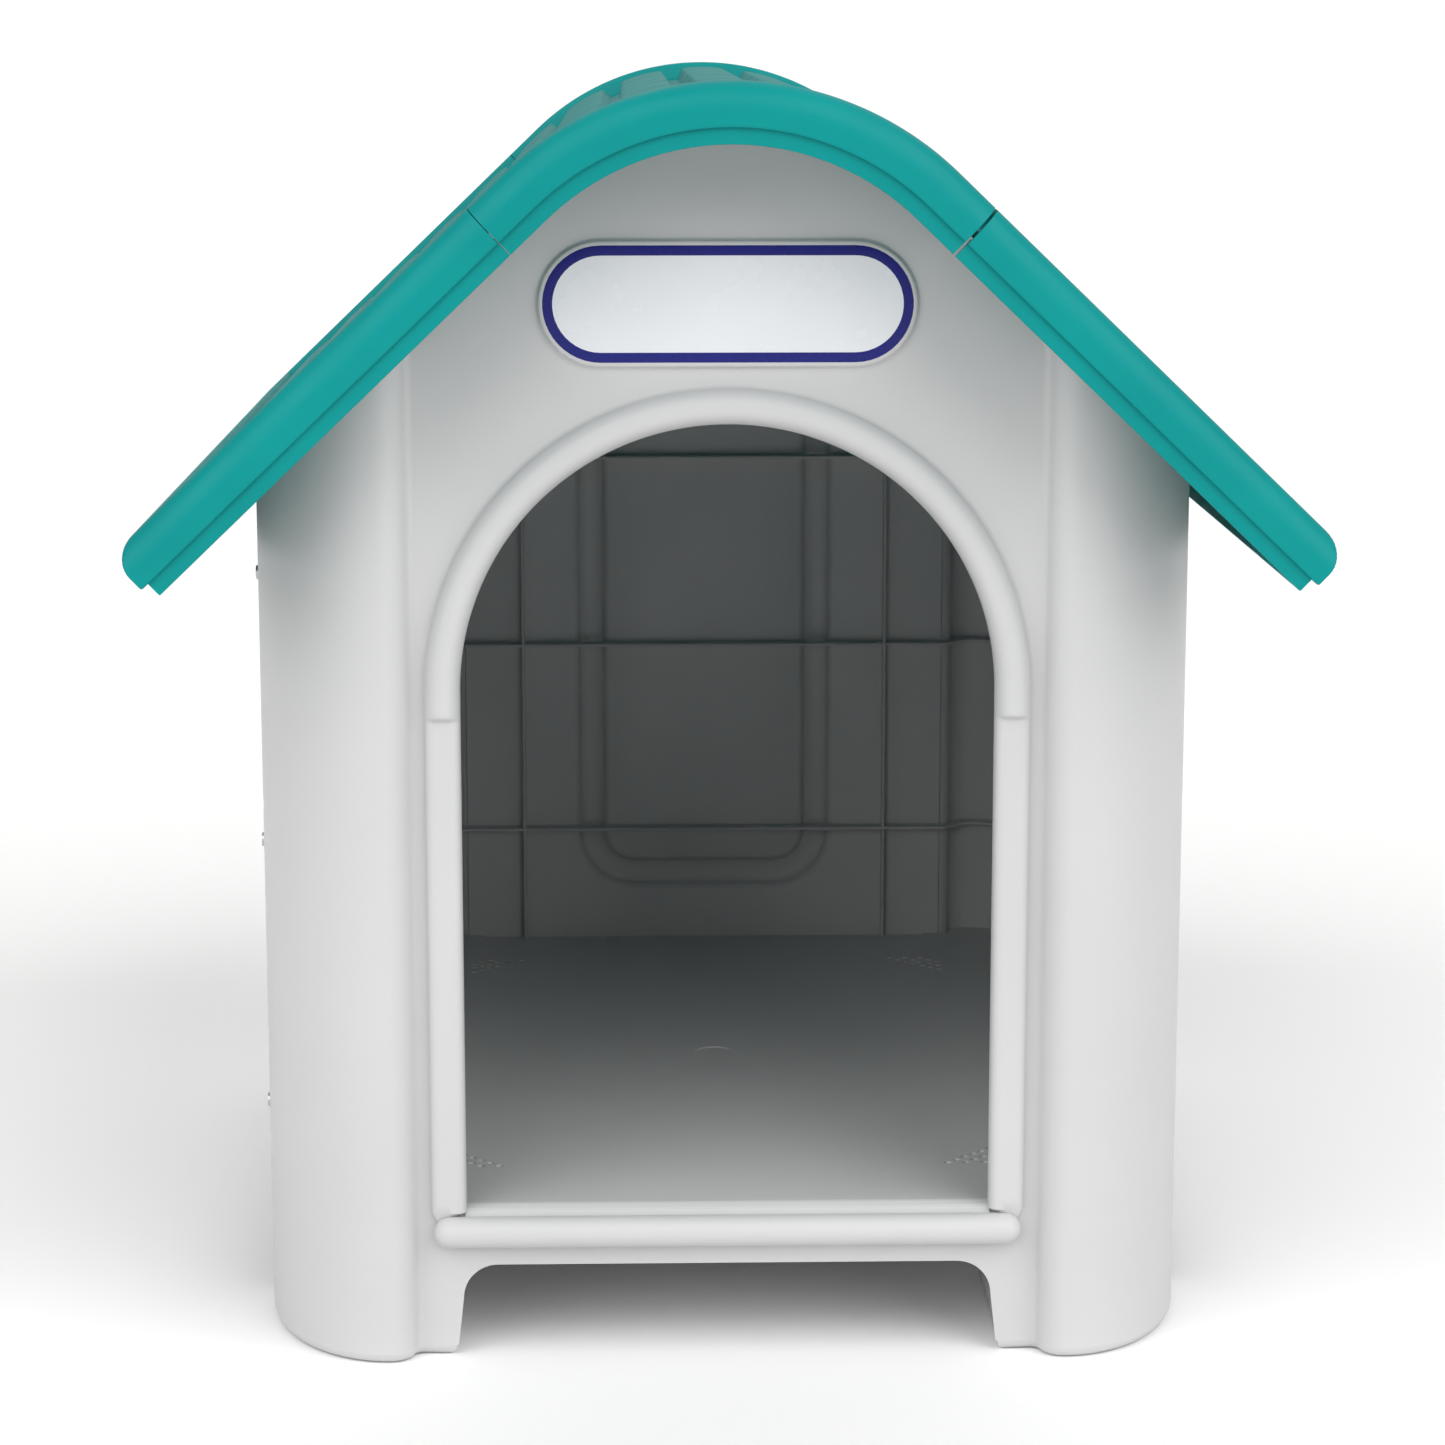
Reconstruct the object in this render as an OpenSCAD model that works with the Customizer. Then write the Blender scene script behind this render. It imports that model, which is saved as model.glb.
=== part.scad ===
// Moulded plastic animal hutch: four wall panels, a raised floor panel and a
// three-piece roof that lifts off. Front faces -Y, ground is z = 0, millimetres.

/* [House] */
// Width over the corner columns
body_w = 490; // [420:5:580]
// Length over the corner columns, front to back
body_l = 624; // [540:6:744]
// Height from the ground to the crest of the roof
total_h = 660; // [600:5:760]
// Wall thickness of the moulded panels
wall = 3; // [2.5:0.1:4]

/* [Roof] */
// Width over the eaves
roof_w = 590; // [540:5:690]
// Length over the front and rear rims
roof_l = 750; // [660:6:880]
// Slope of the two side panels, in degrees
roof_angle = 43.7; // [40:0.1:47]
// Radius of the crest over the ridge
ridge_r = 158; // [140:1:180]
// Distance along the roof from the crest to each seam
seam_s = 145; // [138:1:155]
// Height of the rounded rim
rim_h = 22; // [18:1:28]
// Height of the lip below the rim
lip_h = 8; // [5:0.5:12]
// Depth of the front and rear rims, front to back
rim_w = 26; // [20:1:34]
// Height of a roof tile above the channels
tile_h = 7; // [4:0.5:7.5]
// Width of the channels between the tiles
tile_gap = 6; // [6:0.5:12]
// Number of tiles across the ridge panel
ridge_tiles = 7; // [5:2:9]
// Number of tiles down each side panel
side_tiles = 5; // [3:1:7]
// Thickness of the roof shells
roof_wall = 3; // [2.5:0.1:3.4]

/* [Corner columns] */
// Width of a column across the front
column_w = 83; // [70:1:92]
// Depth of the rounded part of a column along the side
column_d = 105; // [80:1:130]
// How far a column stands in front of the flat wall
column_step = 14; // [10:1:18]
// Width of the flat strip where a column laps the side wall
lap = 20; // [18:1:30]

/* [Doorway] */
// Width of the doorway
door_w = 272; // [200:2:290]
// Height of the top of the doorway above the ground
door_top = 489; // [440:1:505]
// Width of the moulding round the doorway
moulding_w = 18.5; // [14:0.5:22]
// How far the moulding stands out
moulding_out = 10; // [7:0.5:12]
// Height of the sill bar
sill_h = 18.5; // [14:0.5:22]

/* [Name plate] */
// Length of the raised plate
plate_w = 190; // [150:1:220]
// Height of the raised plate
plate_h = 63; // [46:1:66]
// Centre of the plate above the ground
plate_z = 549; // [545:1:560]
// Margin of the plate round the label
plate_margin = 3; // [3:0.5:8]

/* [Rear panel and ribs] */
// Width of the mock doorway on the rear wall
mock_w = 171; // [130:1:200]
// Width of its moulding
mock_band = 22; // [14:1:26]
// Top of the mock doorway above the ground
mock_top = 510; // [480:1:520]
// Height of the stiffening ribs inside the walls
rib_h = 10; // [6:0.5:12]
// Thickness of the ribs
rib_t = 2; // [1.6:0.1:3]
// Distance of the upright ribs from the middle of the wall
rib_x = 120; // [105:1:128]
// Distance between the level ribs
rib_pitch = 125; // [110:1:140]

/* [Floor] */
// Height of the floor's upper face above the ground
floor_z = 80; // [72:1:100]
// Thickness of the floor
floor_t = 3; // [2.5:0.1:4]
// Diameter of the drain holes
drain_d = 4; // [3:0.1:5]
// Step between staggered drain holes
drain_step = 5; // [4.5:0.1:7]
// Distance of the innermost drain hole from the middle line
drain_x = 121; // [100:1:140]
// Distance of the outer row of drain holes from the middle, front to back
drain_y = 225; // [180:1:240]

/* [Feet] */
// Height of the gap between the feet
foot_h = 49; // [40:1:56]
// Width of the gap between the feet
foot_gap = 282; // [240:2:300]

/* [Side vents] */
// Length of a vent slot
slot_l = 84; // [60:1:110]
// Height of a vent slot
slot_h = 6; // [5:0.5:8]
// Number of slots in each vent
slot_count = 4; // [2:1:4]
// Distance between the slots
slot_pitch = 13; // [12:0.5:15]
// Centre of the vent above the ground
vent_z = 395; // [370:1:400]

/* [Fasteners] */
// Diameter of the screw shanks
screw_d = 4; // [3:0.1:5]
// Diameter of the screw heads
head_d = 9; // [8:0.1:11]
// Height of the screw heads
head_h = 2.6; // [2:0.1:3]
// Number of screws down each corner
corner_screws = 3; // [2:1:4]
// Number of screws along each roof seam
seam_screws = 4; // [2:1:6]

/* [Hidden] */
$fn = 48;
eps = 0.01;
shell_grey = "#c9cacd";
roof_teal = "#019a93";
screw_grey = "#8d9196";
gap = 0.3;            // clearance between pieces that move apart
fit = 0.5;            // clearance round the floor and round a lap
hole_fit = 0.3;       // radial clearance of a screw in its clearance hole
pilot = 0.3;          // how much smaller than the shank a pilot hole's radius is
tall = 1000;          // longer than anything in the model

// plan of the walls
flat_y = body_l / 2 - column_step;      // outer face of the flat front wall
column_x = body_w / 2 - column_w;       // inner edge of a column
crown_x = column_x + column_step;       // where a column stands out furthest
end_y = body_l / 2 - column_d - lap;    // where a column ends on the side
round_y = end_y + lap;                  // where its rounded part starts
side_x = body_w / 2 - wall;             // outer face of a side wall

// section of the roof: s runs along the crest from the ridge, n is outward
arc_s = ridge_r * roof_angle * PI / 180;
eave_r = 14;
eave_s = arc_s + eave_r
    + (roof_w / 2 - eave_r - (ridge_r - eave_r) * sin(roof_angle)) / cos(roof_angle);
tile_drop = 3;                          // tile tops below the crest of the rims
skin_n = -tile_drop - tile_h;           // outer face of the channels
under_n = skin_n - roof_wall;           // inner face of the channels
tile_under = -tile_drop - roof_wall;    // inner face of the tiles
tongue_t = 3;
wall_n = under_n - tongue_t - gap;      // top edge of the walls
eave_band = 34;
seam = max(seam_s, arc_s + 2);          // the side panels are straight all the way
function crest(s, n) =
    let (
        a = min(abs(s) / ridge_r * 180 / PI, roof_angle),
        over = max(abs(s) - arc_s, 0),
        x = (ridge_r + n) * sin(a) + over * cos(a),
        z = total_h - ridge_r + (ridge_r + n) * cos(a) - over * sin(a)
    ) [sign(s) * x, z];
function roof_z(x, n) = // height of the offset crest above a given x on the slope
    let (over = (abs(x) - (ridge_r + n) * sin(roof_angle)) / cos(roof_angle))
    total_h - ridge_r + (ridge_r + n) * cos(roof_angle) - over * sin(roof_angle);
side_top = roof_z(side_x, wall_n);      // top of the side walls
function span(a, b, n) = [for (i = [0 : n]) a + (b - a) * i / n];
arc_steps = 24;

// --- plan outlines -------------------------------------------------------

// Front half of the plan, left to right, drawn in by t.
function column_half(t, n) = let (r = max(column_step - t, 0.1)) concat(
    [[min(column_x + t, crown_x - 0.2), -flat_y + t]],
    [for (a = span(180, 90, n)) // inner shoulder of the column
        [crown_x + r * cos(a), -flat_y - r * sin(a)]],
    [for (a = span(84, 0, 2 * n)) // rounded corner
        [crown_x + (body_w / 2 - crown_x - t) * cos(a), -round_y - (column_d - t) * sin(a)]]
);
function mirror_x(pts) = [for (i = [len(pts) - 1 : -1 : 0]) [-pts[i][0], pts[i][1]]];
function front_path(t, n) = concat(mirror_x(column_half(t, n)), column_half(t, n));
module front_ring() {
    outer = front_path(0, 8);
    inner = front_path(wall, 8);
    polygon(concat(
        [[-body_w / 2, -end_y]], outer, [[body_w / 2, -end_y], [side_x, -end_y]],
        [for (i = [len(inner) - 1 : -1 : 0]) inner[i]], [[-side_x, -end_y]]));
}
// Outline of everything inside the walls, drawn in by t, both ends.
module plan_inside(t) {
    half = [for (p = front_path(t + fit, 8)) if (p[1] < -round_y - 1) p];
    x = side_x - t - fit;
    y = round_y + fit;
    polygon(concat([[-x, -y]], half, [[x, -y], [x, y]],
        [for (i = [len(half) - 1 : -1 : 0]) [half[i][0], -half[i][1]]], [[-x, y]]));
}

// Region under the roof at offset n, drawn in the XZ plane.
module gable_2d(n) {
    reach = body_w;
    side = [for (s = span(arc_s, 0, arc_steps / 2)) crest(s, n)];
    edge = [reach, roof_z(reach, n)];
    polygon(concat([[reach, -tall], edge], side,
        [for (i = [len(side) - 2 : -1 : 0]) [-side[i][0], side[i][1]]],
        [[-reach, edge[1]], [-reach, -tall]]));
}
module along_y(y0, y1) { // an XZ drawing pushed from y0 to y1
    translate([0, y1, 0]) rotate([90, 0, 0]) linear_extrude(y1 - y0) children();
}

// --- end walls -------------------------------------------------------------

door_r = door_w / 2;
spring_z = door_top - door_r;           // springing of the doorway's arch
door_bottom = floor_z - 4;
sill_z = floor_z - 1.5 - sill_h / 2;    // centre of the sill bar
jamb_top = spring_z - 13;               // where the round moulding dies into the jambs
notch_out = 6;                          // how far the flat jambs stand out
ledge_w = 10;
ledge_t = 3;
ledge_z = floor_z - floor_t - ledge_t;  // underside of the floor's ledge
rib_levels = [for (i = [1 : 3]) floor_z + rib_pitch * (i - 1) + 74.5];

module door_2d(grow) {
    translate([0, spring_z]) circle(r = door_r + grow, $fn = 96);
    translate([-door_r - grow, door_bottom]) square([door_w + 2 * grow, spring_z - door_bottom]);
}
module door_frame(t) { // drawn in by t: the hollow behind the moulding
    y = -flat_y;
    along_y(y - moulding_out + t, y + (t > 0 ? wall + 1 : eps)) {
        difference() {
            intersection() {
                door_2d(moulding_w - t);
                translate([-tall / 2, jamb_top]) square([tall, tall]);
            }
            door_2d(t);
        }
    }
    along_y(y - notch_out + t, y + (t > 0 ? wall + 1 : eps))
        for (m = [0, 1]) mirror([m, 0])
            translate([door_r + t, sill_z + 3 + t])
                square([moulding_w - 2 * t, jamb_top - sill_z - 3 - t + 1]);
}
module sill_bar() { // a round bar with rounded ends
    r = sill_h / 2;
    w = door_w / 2 + moulding_w - r - 1.4;
    last = 75;
    translate([0, -flat_y - sill_h / 4, sill_z]) rotate([0, 90, 0]) rotate_extrude()
        polygon(concat([[0, -w - r * sin(last)]],
            [for (a = span(-last, 0, 6)) [r * cos(a), -w + r * sin(a)]],
            [for (a = span(0, last, 6)) [r * cos(a), w + r * sin(a)]],
            [[0, w + r * sin(last)]]));
}
module foot_gap_2d() {
    r = 18;
    lean = 3;
    w = foot_gap / 2;
    hull() {
        for (m = [-1, 1]) translate([m * (w - r - lean), foot_h - r]) circle(r = r);
        translate([-w, -10]) square([2 * w, 1]);
    }
}
foot_top = foot_h - 2;                  // top of the plates that close a foot
module foot_2d(t) { // plan of one foot, drawn in by t from its straight sides
    polygon(concat([[foot_gap / 2 + t, -end_y - t], [foot_gap / 2 + t, -flat_y + t]],
        [for (p = column_half(t + eps, 8)) p], [[body_w / 2 - t - eps, -end_y - t]]));
}
module foot_plates() { // closed bottoms and inner sides of the two feet
    for (m = [0, 1]) mirror([m, 0, 0]) {
        linear_extrude(4) foot_2d(0);
        translate([0, 0, 3]) linear_extrude(foot_top - 3) difference() {
            foot_2d(0);
            foot_2d(wall);
        }
    }
}
module end_ribs(blocked) { // level and upright ribs on the inner face of an end wall
    y0 = -flat_y + wall - eps;
    for (z = rib_levels) along_y(y0, y0 + rib_h) difference() {
        translate([-column_x, z - rib_t / 2]) square([2 * column_x, rib_t]);
        if (blocked) door_2d(1);
    }
    for (m = [-1, 1]) if (!blocked) along_y(y0, y0 + rib_h)
        translate([m * rib_x - rib_t / 2, floor_z + gap])
            square([rib_t, rib_levels[2] - floor_z - gap]);
    along_y(y0, y0 + ledge_w)
        translate([-column_x, ledge_z]) square([2 * column_x, ledge_t]);
}
function column_line(t) = concat([[column_x - 1, -flat_y + t]],
    [for (p = column_half(t, 8)) if (p[1] < -round_y - 1) p]);
module column_ribs() { // level ribs and floor ledge inside the hollow columns
    ring = concat(column_line(wall - eps), reversed(column_line(wall + rib_h)));
    for (z = concat([ledge_z], rib_levels)) translate([0, 0, z - (z == ledge_z ? 0 : rib_t / 2)])
        for (m = [0, 1]) mirror([m, 0, 0])
            linear_extrude(z == ledge_z ? ledge_t : rib_t) polygon(ring);
}
corner_z = span(110, 400, corner_screws - 1);
screw_y = end_y + lap / 2;
module corner_holes(r) {
    for (z = corner_z, m = [-1, 1]) translate([m * body_w / 2, -screw_y, z])
        rotate([0, 90, 0]) cylinder(h = 4 * wall, r = r, center = true);
}
module end_wall(doorway) {
    difference() {
        union() {
            linear_extrude(total_h) front_ring();
            children();
            column_ribs();
            end_ribs(doorway);
        }
        difference() { // everything above the roof line
            along_y(-tall / 2, tall / 2) translate([-tall / 2, 0]) square([tall, tall]);
            along_y(-tall / 2 - 1, tall / 2 + 1) gable_2d(wall_n);
        }
        along_y(-body_l, -end_y - lap - fit) foot_gap_2d();
        corner_holes(screw_d / 2 + hole_fit);
    }
    foot_plates();
}
module stadium(w, h) {
    for (m = [-1, 1]) translate([m * (w - h) / 2, 0]) circle(d = h);
    square([w - h, h], center = true);
}
label_t = 0.4;
plate_out = 3;
module name_plate() {
    along_y(-flat_y - plate_out, -flat_y + eps) translate([0, plate_z]) stadium(plate_w, plate_h);
}
module front_wall() {
    color(shell_grey) difference() {
        end_wall(true) {
            door_frame(0);
            name_plate();
        }
        along_y(-body_l, 0) door_2d(0);
        door_frame(wall);
        along_y(-flat_y + wall - plate_out, -flat_y + wall + 1)
            translate([0, plate_z]) stadium(plate_w - 2 * wall, plate_h - 2 * wall);
        along_y(-body_l, -flat_y - plate_out + label_t) translate([0, plate_z])
            stadium(plate_w - 2 * plate_margin, plate_h - 2 * plate_margin);
    }
    color(shell_grey) sill_bar();
}
mock_out = 8;
mock_bottom = 112;
module mock_2d(inset) { // outline of the mock doorway, drawn in by inset
    r = mock_w / 2 - inset;
    c = 39 - inset;
    translate([0, mock_top - mock_w / 2]) circle(r = r, $fn = 96);
    translate([-r, mock_bottom + inset + c]) square([2 * r, mock_top - mock_w / 2 - mock_bottom - inset - c]);
    translate([-r + c, mock_bottom + inset]) square([2 * (r - c), c + 1]);
    for (m = [-1, 1]) translate([m * (r - c), mock_bottom + inset + c]) circle(r = c);
}
module mock_frame(t) {
    along_y(-flat_y - mock_out + t, -flat_y + (t > 0 ? wall + 1 : eps)) difference() {
        mock_2d(t);
        mock_2d(mock_band - t);
    }
}
module rear_wall() {
    color(shell_grey) rotate([0, 0, 180]) {
        difference() {
            end_wall(false) mock_frame(0);
            difference() {
                mock_frame(wall);
                for (z = rib_levels) translate([-mock_w, -flat_y - wall, z - rib_t / 2])
                    cube([2 * mock_w, wall + rib_h, rib_t]);
            }
        }
    }
}

// --- side walls ------------------------------------------------------------

side_half = body_l / 2 - column_d - fit; // half length, with the part under the lap
boss_h = 9;
module slot_2d() {
    for (i = [0 : slot_count - 1]) translate([0, vent_z + (i - (slot_count - 1) / 2) * slot_pitch])
        stadium(slot_l, slot_h);
}
vent_w = slot_l + 46;
vent_h = (slot_count - 1) * slot_pitch + slot_h + 16;
panel_l = 300;
panel_band = 16;
panel_z0 = 115;
panel_z1 = 335;
module rounded(w, h, r) {
    square([w - 2 * r, h], center = true);
    square([w, h - 2 * r], center = true);
    for (x = [-1, 1], y = [-1, 1]) translate([x * (w / 2 - r), y * (h / 2 - r)]) circle(r = r);
}
module panel_2d(t) {
    translate([0, (panel_z0 + panel_z1) / 2])
        rounded(panel_l - 2 * t, panel_z1 - panel_z0 - 2 * t, 26 - t);
}
// A drawing of length (first axis) and height pushed along x from x0 to x1.
module along_x(x0, x1) {
    translate([x0, 0, 0]) rotate([90, 0, 90]) linear_extrude(x1 - x0) children();
}
module side_wall() { // the right-hand wall
    inner = side_x - wall;
    difference() {
        union() {
            along_x(inner, side_x) translate([-side_half, foot_h])
                square([2 * side_half, side_top - foot_h]);
            along_x(side_x - eps, side_x + 2.5) translate([0, vent_z]) stadium(vent_w, vent_h);
            along_x(side_x - eps, side_x + 2.5) difference() {
                panel_2d(0);
                panel_2d(panel_band);
            }
            for (z = [rib_levels[0], rib_levels[1]]) along_x(inner - rib_h, inner + eps)
                translate([-end_y + 2, z - rib_t / 2]) square([2 * end_y - 4, rib_t]);
            for (y = [-1, 0, 1]) along_x(inner - rib_h, inner + eps)
                translate([y * rib_x - rib_t / 2, floor_z + gap])
                    square([rib_t, rib_levels[1] - floor_z - gap]);
            along_x(inner - ledge_w, inner + eps)
                translate([-end_y + 2, ledge_z]) square([2 * end_y - 4, ledge_t]);
            for (z = corner_z, m = [-1, 1]) translate([inner - boss_h + eps, m * screw_y, z])
                rotate([0, 90, 0]) cylinder(h = boss_h, d = screw_d + 5);
        }
        along_x(0, body_w) slot_2d();
        for (z = corner_z, m = [-1, 1]) translate([inner - boss_h, m * screw_y, z])
            rotate([0, 90, 0]) cylinder(h = boss_h + 4 * wall, r = screw_d / 2 - pilot);
    }
}
module right_wall() { color(shell_grey) side_wall(); }
module left_wall() { color(shell_grey) mirror([1, 0, 0]) side_wall(); }

// --- floor -----------------------------------------------------------------

floor_rib = 15;
gate_d = 24;
module drain_cluster() { // staggered holes filling a corner-wise triangle
    for (row = [0 : 2], i = [0 : 6 - 2 * row])
        translate([drain_x + (i + 2 * row) * drain_step, drain_y - i * drain_step, 0])
            cylinder(h = 4 * floor_t, d = drain_d, center = true, $fn = 24);
}
rib_inset = wall + max(ledge_w, rib_h) + fit;
module rib_grid_2d() { // ribs both ways under the floor
    for (i = [-3 : 3]) translate([i * side_x / 3.8, 0]) square([rib_t, body_l], center = true);
    for (i = [-4 : 4]) translate([0, i * flat_y / 4.7]) square([body_w, rib_t], center = true);
}
module floor_nose() { // rounds the top edge of the floor behind the doorway
    r = 2 * floor_t;
    y = flat_y - wall - fit;
    along_x(-door_w / 2 - 12, door_w / 2 + 12) polygon(concat(
        [[-y - 1, floor_z - floor_t - 1], [-y - 1, floor_z + 1], [-y + r, floor_z + 1]],
        [for (a = span(90, 150, 5)) [-y + r + r * cos(a), floor_z - r + r * sin(a)]],
        [[-y + r * (1 - cos(30)), floor_z - floor_t - 1]]));
}
module floor_panel() {
    color(shell_grey) difference() {
        union() {
            translate([0, 0, floor_z - floor_t]) linear_extrude(floor_t) plan_inside(wall);
            translate([0, 0, floor_z - floor_t - floor_rib]) linear_extrude(floor_rib + eps)
                intersection() {
                    rib_grid_2d();
                    plan_inside(rib_inset);
                }
        }
        for (x = [0, 1], y = [0, 1]) mirror([x, 0, 0]) mirror([0, y, 0])
            translate([0, 0, floor_z]) drain_cluster();
        translate([0, 0, floor_z - 0.8]) cylinder(h = 2, d = gate_d);
        both_ends() floor_nose();
    }
}

// --- roof --------------------------------------------------------------------

// Closed outline between two offset curves, from s0 to s1.
function band(s0, s1, n0, n1, k) = concat(
    [for (s = span(s0, s1, k)) crest(s, n1)], [for (s = span(s1, s0, k)) crest(s, n0)]);
// Corrugated skin: count tiles between s0 and s1, each with sloping flanks.
flank = 4;
function skin_outer(s0, s1, count) = let (p = (s1 - s0) / count) [
    for (i = [0 : count - 1]) let (a = s0 + i * p + tile_gap / 2, b = s0 + (i + 1) * p - tile_gap / 2)
        each [crest(a, skin_n), for (s = span(a + flank, b - flank, 3)) crest(s, -tile_drop),
            crest(b, skin_n)]];
function skin_inner(s0, s1, count) = let (p = (s1 - s0) / count, t = roof_wall) [
    for (i = [0 : count - 1]) let (a = s0 + i * p + tile_gap / 2 + t, b = s0 + (i + 1) * p - tile_gap / 2 - t)
        each [crest(a, under_n), for (s = span(a + flank, b - flank, 3)) crest(s, -tile_drop - t),
            crest(b, under_n)]];
module skin_2d(s0, s1, count) {
    inner = skin_inner(s0, s1, count);
    polygon(concat([crest(s0, skin_n)], skin_outer(s0, s1, count), [crest(s1, skin_n), crest(s1, under_n)],
        [for (i = [len(inner) - 1 : -1 : 0]) inner[i]], [crest(s0, under_n)]));
}
// Stiffening web below the skin, from its underside down to n.
module web_2d(s0, s1, count, n) {
    inner = skin_inner(s0, s1, count);
    raise = [for (q = inner) q + [0, 1]];
    polygon(concat([crest(s0, under_n + 1)], raise, [crest(s1, under_n + 1)],
        [for (s = span(s1, s0, 2 * arc_steps)) crest(s, n)]));
}
lip_back = 2.5;                         // how far the lip sits behind the rim's face
round_d = 12;                           // depth of the rim's rounding
round_n = 14;                           // height of the rim's rounding
function rim_round(t) = [for (a = span(0, 90, 6))
    [round_d - (round_d - t) * cos(a), -round_n + (round_n - t) * sin(a)]];
function reversed(pts) = [for (i = [len(pts) - 1 : -1 : 0]) pts[i]];
// Section of the front or rear rim: distance back from the face, then n.
rim_section = concat([[0, -rim_h]], rim_round(0),
    [[rim_w, 0], [rim_w, under_n - 1], [rim_w - roof_wall, under_n - 1], [rim_w - roof_wall, -roof_wall]],
    reversed(rim_round(roof_wall)),
    [[roof_wall, -rim_h + roof_wall], [lip_back + roof_wall, -rim_h + roof_wall],
     [lip_back + roof_wall, -rim_h - lip_h], [lip_back, -rim_h - lip_h], [lip_back, -rim_h]]);
// Outline of the whole roof seen along the slope.
envelope_section = let (l = roof_l, q = rim_round(0)) concat([[0, -rim_h]], q,
    [for (i = [len(q) - 1 : -1 : 0]) [l - q[i][0], q[i][1]]], [[l, -rim_h]]);
module along_slope(s0, s1) { // pushes a section down the right-hand slope
    a = roof_angle;
    at = crest(s0, 0);
    multmatrix([[0, sin(a), cos(a), at[0]], [1, 0, 0, -roof_l / 2], [0, cos(a), -sin(a), at[1]],
        [0, 0, 0, 1]])
        linear_extrude(s1 - s0) children();
}
module both_ends() {
    children();
    mirror([0, 1, 0]) children();
}
module ridge_rim() { // over the crest and a little way down both slopes
    translate([0, 0, total_h - ridge_r]) rotate([90, 0, 0]) rotate([0, 0, 90 - roof_angle])
        rotate_extrude(angle = 2 * roof_angle, $fn = 120)
            polygon([for (q = rim_section) [ridge_r + q[1], roof_l / 2 - q[0]]]);
    for (m = [0, 1]) mirror([m, 0, 0]) along_slope(arc_s - eps, seam - gap) polygon(rim_section);
}
screw_s = seam - 14;
seam_ys = [for (i = [0 : seam_screws - 1]) (i - (seam_screws - 1) / 2) * (roof_l - 2 * rim_w) / seam_screws];
module at_seam() { // upright frames on the slope under each seam screw
    for (y = seam_ys) translate([crest(screw_s, 0)[0], y, crest(screw_s, 0)[1]])
        rotate([0, roof_angle, 0]) children();
}
ridge_web_ys = [for (i = [-1, 0, 1]) i * (flat_y - wall - rib_h - 4)];
module web_clip_2d() { // keeps the ridge webs clear of the side panels' tongues
    polygon([crest(-tongue_s + 1.5, 5), crest(0, 60), crest(tongue_s - 1.5, 5),
        crest(tongue_s - 1.5, -60), crest(-tongue_s + 1.5, -60)]);
}
module roof_ridge() {
    half = roof_l / 2 - rim_w + roof_wall / 2;
    color(roof_teal) difference() {
        union() {
            along_y(-half, half) skin_2d(-seam + gap, seam - gap, ridge_tiles);
            both_ends() ridge_rim();
            for (m = [0, 1]) mirror([m, 0, 0]) at_seam()
                translate([0, 0, under_n]) cylinder(h = -under_n - tile_drop - 1, d = screw_d + 6);
            for (y = ridge_web_ys) along_y(y - rib_t / 2, y + rib_t / 2) intersection() {
                web_2d(-seam + gap, seam - gap, ridge_tiles, under_n - tongue_t);
                web_clip_2d();
            }
        }
        for (m = [0, 1]) mirror([m, 0, 0]) at_seam()
            translate([0, 0, under_n - 1]) cylinder(h = 8, r = screw_d / 2 - pilot);
    }
}
tongue_s = max(arc_s + 1, screw_s - 9);
// Section of the eave: a rounded hollow bar with a lip below it.
function nose(t) = [for (a = span(0, 90, 8)) // from the top round to the tip
    crest(eave_s - eave_r + (eave_r - t) * sin(a), -eave_r + (eave_r - t) * cos(a))];
eave_bottom = crest(eave_s - 1.5, -rim_h);
module nose_2d() { // everything inside the outline of the eave
    polygon(concat([crest(seam - 5, 5), crest(eave_s - eave_r, 5)], nose(0),
        [eave_bottom, crest(eave_s - lip_back, -rim_h), crest(eave_s - lip_back, -rim_h - lip_h - 1),
         crest(seam - 5, -rim_h - lip_h - 1)]));
}
module eave() {
    w = roof_wall;
    s0 = eave_s - eave_band;
    lip0 = eave_s - lip_back - w;
    y = roof_l / 2 - lip_back - 1;
    intersection() {
        along_y(-roof_l, roof_l) polygon(concat([crest(s0, 0)], nose(0),
            [eave_bottom, crest(eave_s - 1.5 - w, -rim_h)], reversed(nose(w)),
            [crest(s0 + w, -w), crest(s0 + w, under_n - 1), crest(s0, under_n - 1)]));
        along_slope(s0 - 5, eave_s + 5) polygon(envelope_section);
    }
    along_y(-y, y) polygon(band(lip0, lip0 + w, -rim_h - lip_h, -rim_h + 3, 1));
}
web_count = 4;                          // webs under a side panel, less one
web_ys = span(-(flat_y - wall - rib_h - 4), flat_y - wall - rib_h - 4, web_count);
module roof_side() { // the right-hand panel
    half = roof_l / 2 - rim_w + roof_wall / 2;
    tongue_y = flat_y - wall - 3;
    difference() {
        union() {
            along_y(-half, half) skin_2d(seam, eave_s - eave_band + 1, side_tiles);
            intersection() {
                both_ends() along_slope(seam, eave_s) polygon(rim_section);
                along_y(-roof_l, roof_l) nose_2d();
            }
            eave();
            along_y(-tongue_y, tongue_y) polygon(band(tongue_s, seam + 10, under_n - tongue_t, under_n, 1));
            for (y = web_ys) along_y(y - rib_t / 2, y + rib_t / 2)
                web_2d(seam, eave_s - eave_band + 1, side_tiles, under_n - tongue_t);
            along_y(-web_ys[web_count], web_ys[web_count]) seat_pad_2d();
            locating_ribs();
        }
        at_seam() translate([0, 0, under_n - 4]) cylinder(h = 5, r = screw_d / 2 + hole_fit);
    }
}
module seat_pad_2d() { // rests on the top edge of a side wall
    x0 = side_x - wall - 3;
    x1 = side_x + 3;
    polygon([[x0, roof_z(x0, under_n + 1)], [x1, roof_z(x1, under_n + 1)],
        [x1, roof_z(x1, under_n - tongue_t)], [x0, roof_z(x0, under_n - tongue_t)]]);
}
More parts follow.
